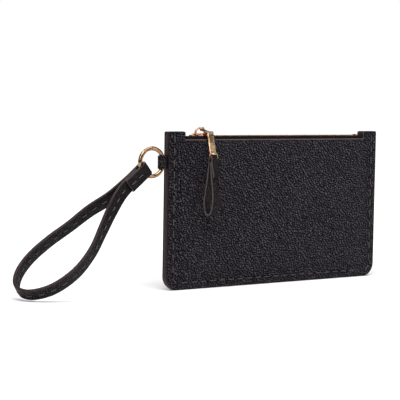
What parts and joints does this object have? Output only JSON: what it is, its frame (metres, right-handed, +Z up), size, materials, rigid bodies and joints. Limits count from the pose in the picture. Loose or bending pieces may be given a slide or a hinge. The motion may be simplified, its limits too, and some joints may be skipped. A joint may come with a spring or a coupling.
{
  "type": "wristlet wallet",
  "caption": "Flat zip-top leather pouch with a side ring and a looped two-ply wrist strap, standing on its bottom edge.",
  "frame": {"origin": "centre of the pouch's bottom edge, on the surface it stands on", "axes": "+X along the pouch's width away from the ring and strap, -Y the front face, +Z up"},
  "size_m": [0.3351, 0.0464, 0.1232],
  "materials": {
    "black_leather": "pebbled, semi-gloss",
    "edge_paint": "painted edge, satin",
    "lining": "plain weave",
    "thread": "waxed thread",
    "zip_tape": "herringbone tape",
    "zip_metal": "antique",
    "rose_gold": "polished",
    "light_gold": "polished",
    "strap_leather": "pebbled, painted edges"
  },
  "bodies": {
    "pouch": {"front_panel": "black_leather", "rear_panel": "black_leather", "edge_welt": "edge_paint", "front_lining": "lining", "rear_lining": "lining", "card_pocket": "lining", "front_stitching": "thread", "rear_stitching": "thread", "zip_tape_front": "zip_tape", "zip_tape_rear": "zip_tape", "zip_end_teeth": "zip_metal", "zip_top_stops": "zip_metal", "zip_bottom_stop": "zip_metal", "ring_tab": "black_leather"},
    "mouth_front": {"zip_lip_front": "zip_tape", "zip_teeth_front": "zip_metal"},
    "mouth_rear": {"zip_lip_rear": "zip_tape", "zip_teeth_rear": "zip_metal"},
    "slider": {"slider_body": "rose_gold", "slider_bail": "rose_gold"},
    "pull": {"pull_tab": "light_gold"},
    "pull_strap": {"pull_loop": "strap_leather", "pull_loop_stitch": "thread"},
    "ring": {"ring": "light_gold"},
    "wrist_strap": {"strap_outer_ply": "strap_leather", "strap_inner_ply": "strap_leather", "strap_stitching": "thread", "strap_end_stitching": "thread"}
  },
  "joints": [
    {"name": "mouth_front_open", "type": "hinge", "parent": "pouch", "child": "mouth_front", "pos_m": [0, -0.0034, 0.1146], "axis": [1, 0, 0], "range_deg": [0, 50]},
    {"name": "mouth_rear_open", "type": "hinge", "parent": "pouch", "child": "mouth_rear", "pos_m": [0, 0.0034, 0.1146], "axis": [-1, 0, 0], "range_deg": [0, 50]},
    {"name": "slider_slide", "type": "slide", "parent": "pouch", "child": "slider", "axis": [1, 0, 0], "range_m": [0, 0.15]},
    {"name": "pull_swing", "type": "hinge", "parent": "slider", "child": "pull", "pos_m": [-0.072, 0, 0.1216], "axis": [-1, 0, 0], "range_deg": [0, 228]},
    {"name": "pull_strap_swing", "type": "hinge", "parent": "pull", "child": "pull_strap", "pos_m": [-0.0685, -0.01014, 0.09979], "axis": [-1, 0, 0], "range_deg": [0, 70]},
    {"name": "ring_swing", "type": "hinge", "parent": "pouch", "child": "ring", "pos_m": [-0.1076, 0, 0.097], "axis": [0, 0, 1], "range_deg": [-60, 60]},
    {"name": "strap_turn", "type": "hinge", "parent": "ring", "child": "wrist_strap", "pos_m": [-0.118, 0, 0.097], "axis": [0, 1, 0], "range_deg": [-50, 120]}
  ]
}
